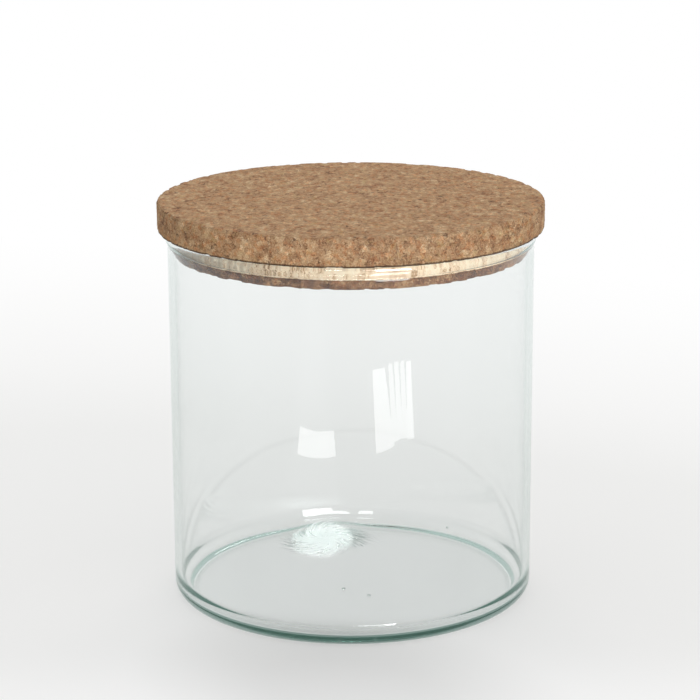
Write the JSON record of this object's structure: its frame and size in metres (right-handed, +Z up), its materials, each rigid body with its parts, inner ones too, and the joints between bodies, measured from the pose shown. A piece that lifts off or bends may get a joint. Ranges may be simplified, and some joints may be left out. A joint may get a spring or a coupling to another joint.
{
  "type": "glass storage jar with cork lid",
  "caption": "Straight round clear glass storage jar with a rolled rim and pushed-up base, closed by a stepped cork lid whose plug drops into the mouth.",
  "frame": {"origin": "centre of the ring that the jar stands on, at table height", "axes": "+Z up along the jar's axis; the jar is round, so X and Y are free"},
  "size_m": [0.135, 0.135, 0.142],
  "materials": {
    "clear_glass": "clear, fire polished, faintly green at the base",
    "cork_disc": "bare sanded cork granules, matt",
    "cork_plug": "bare cut cork granules, matt and rough"
  },
  "bodies": {
    "jar": {"glass_jar": "clear_glass"},
    "lid": {"lid_disc": "cork_disc", "lid_plug": "cork_plug"}
  },
  "joints": [
    {"name": "lid_lift", "type": "slide", "parent": "jar", "child": "lid", "axis": [0, 0, 1], "range_m": [0, 0.15]}
  ]
}
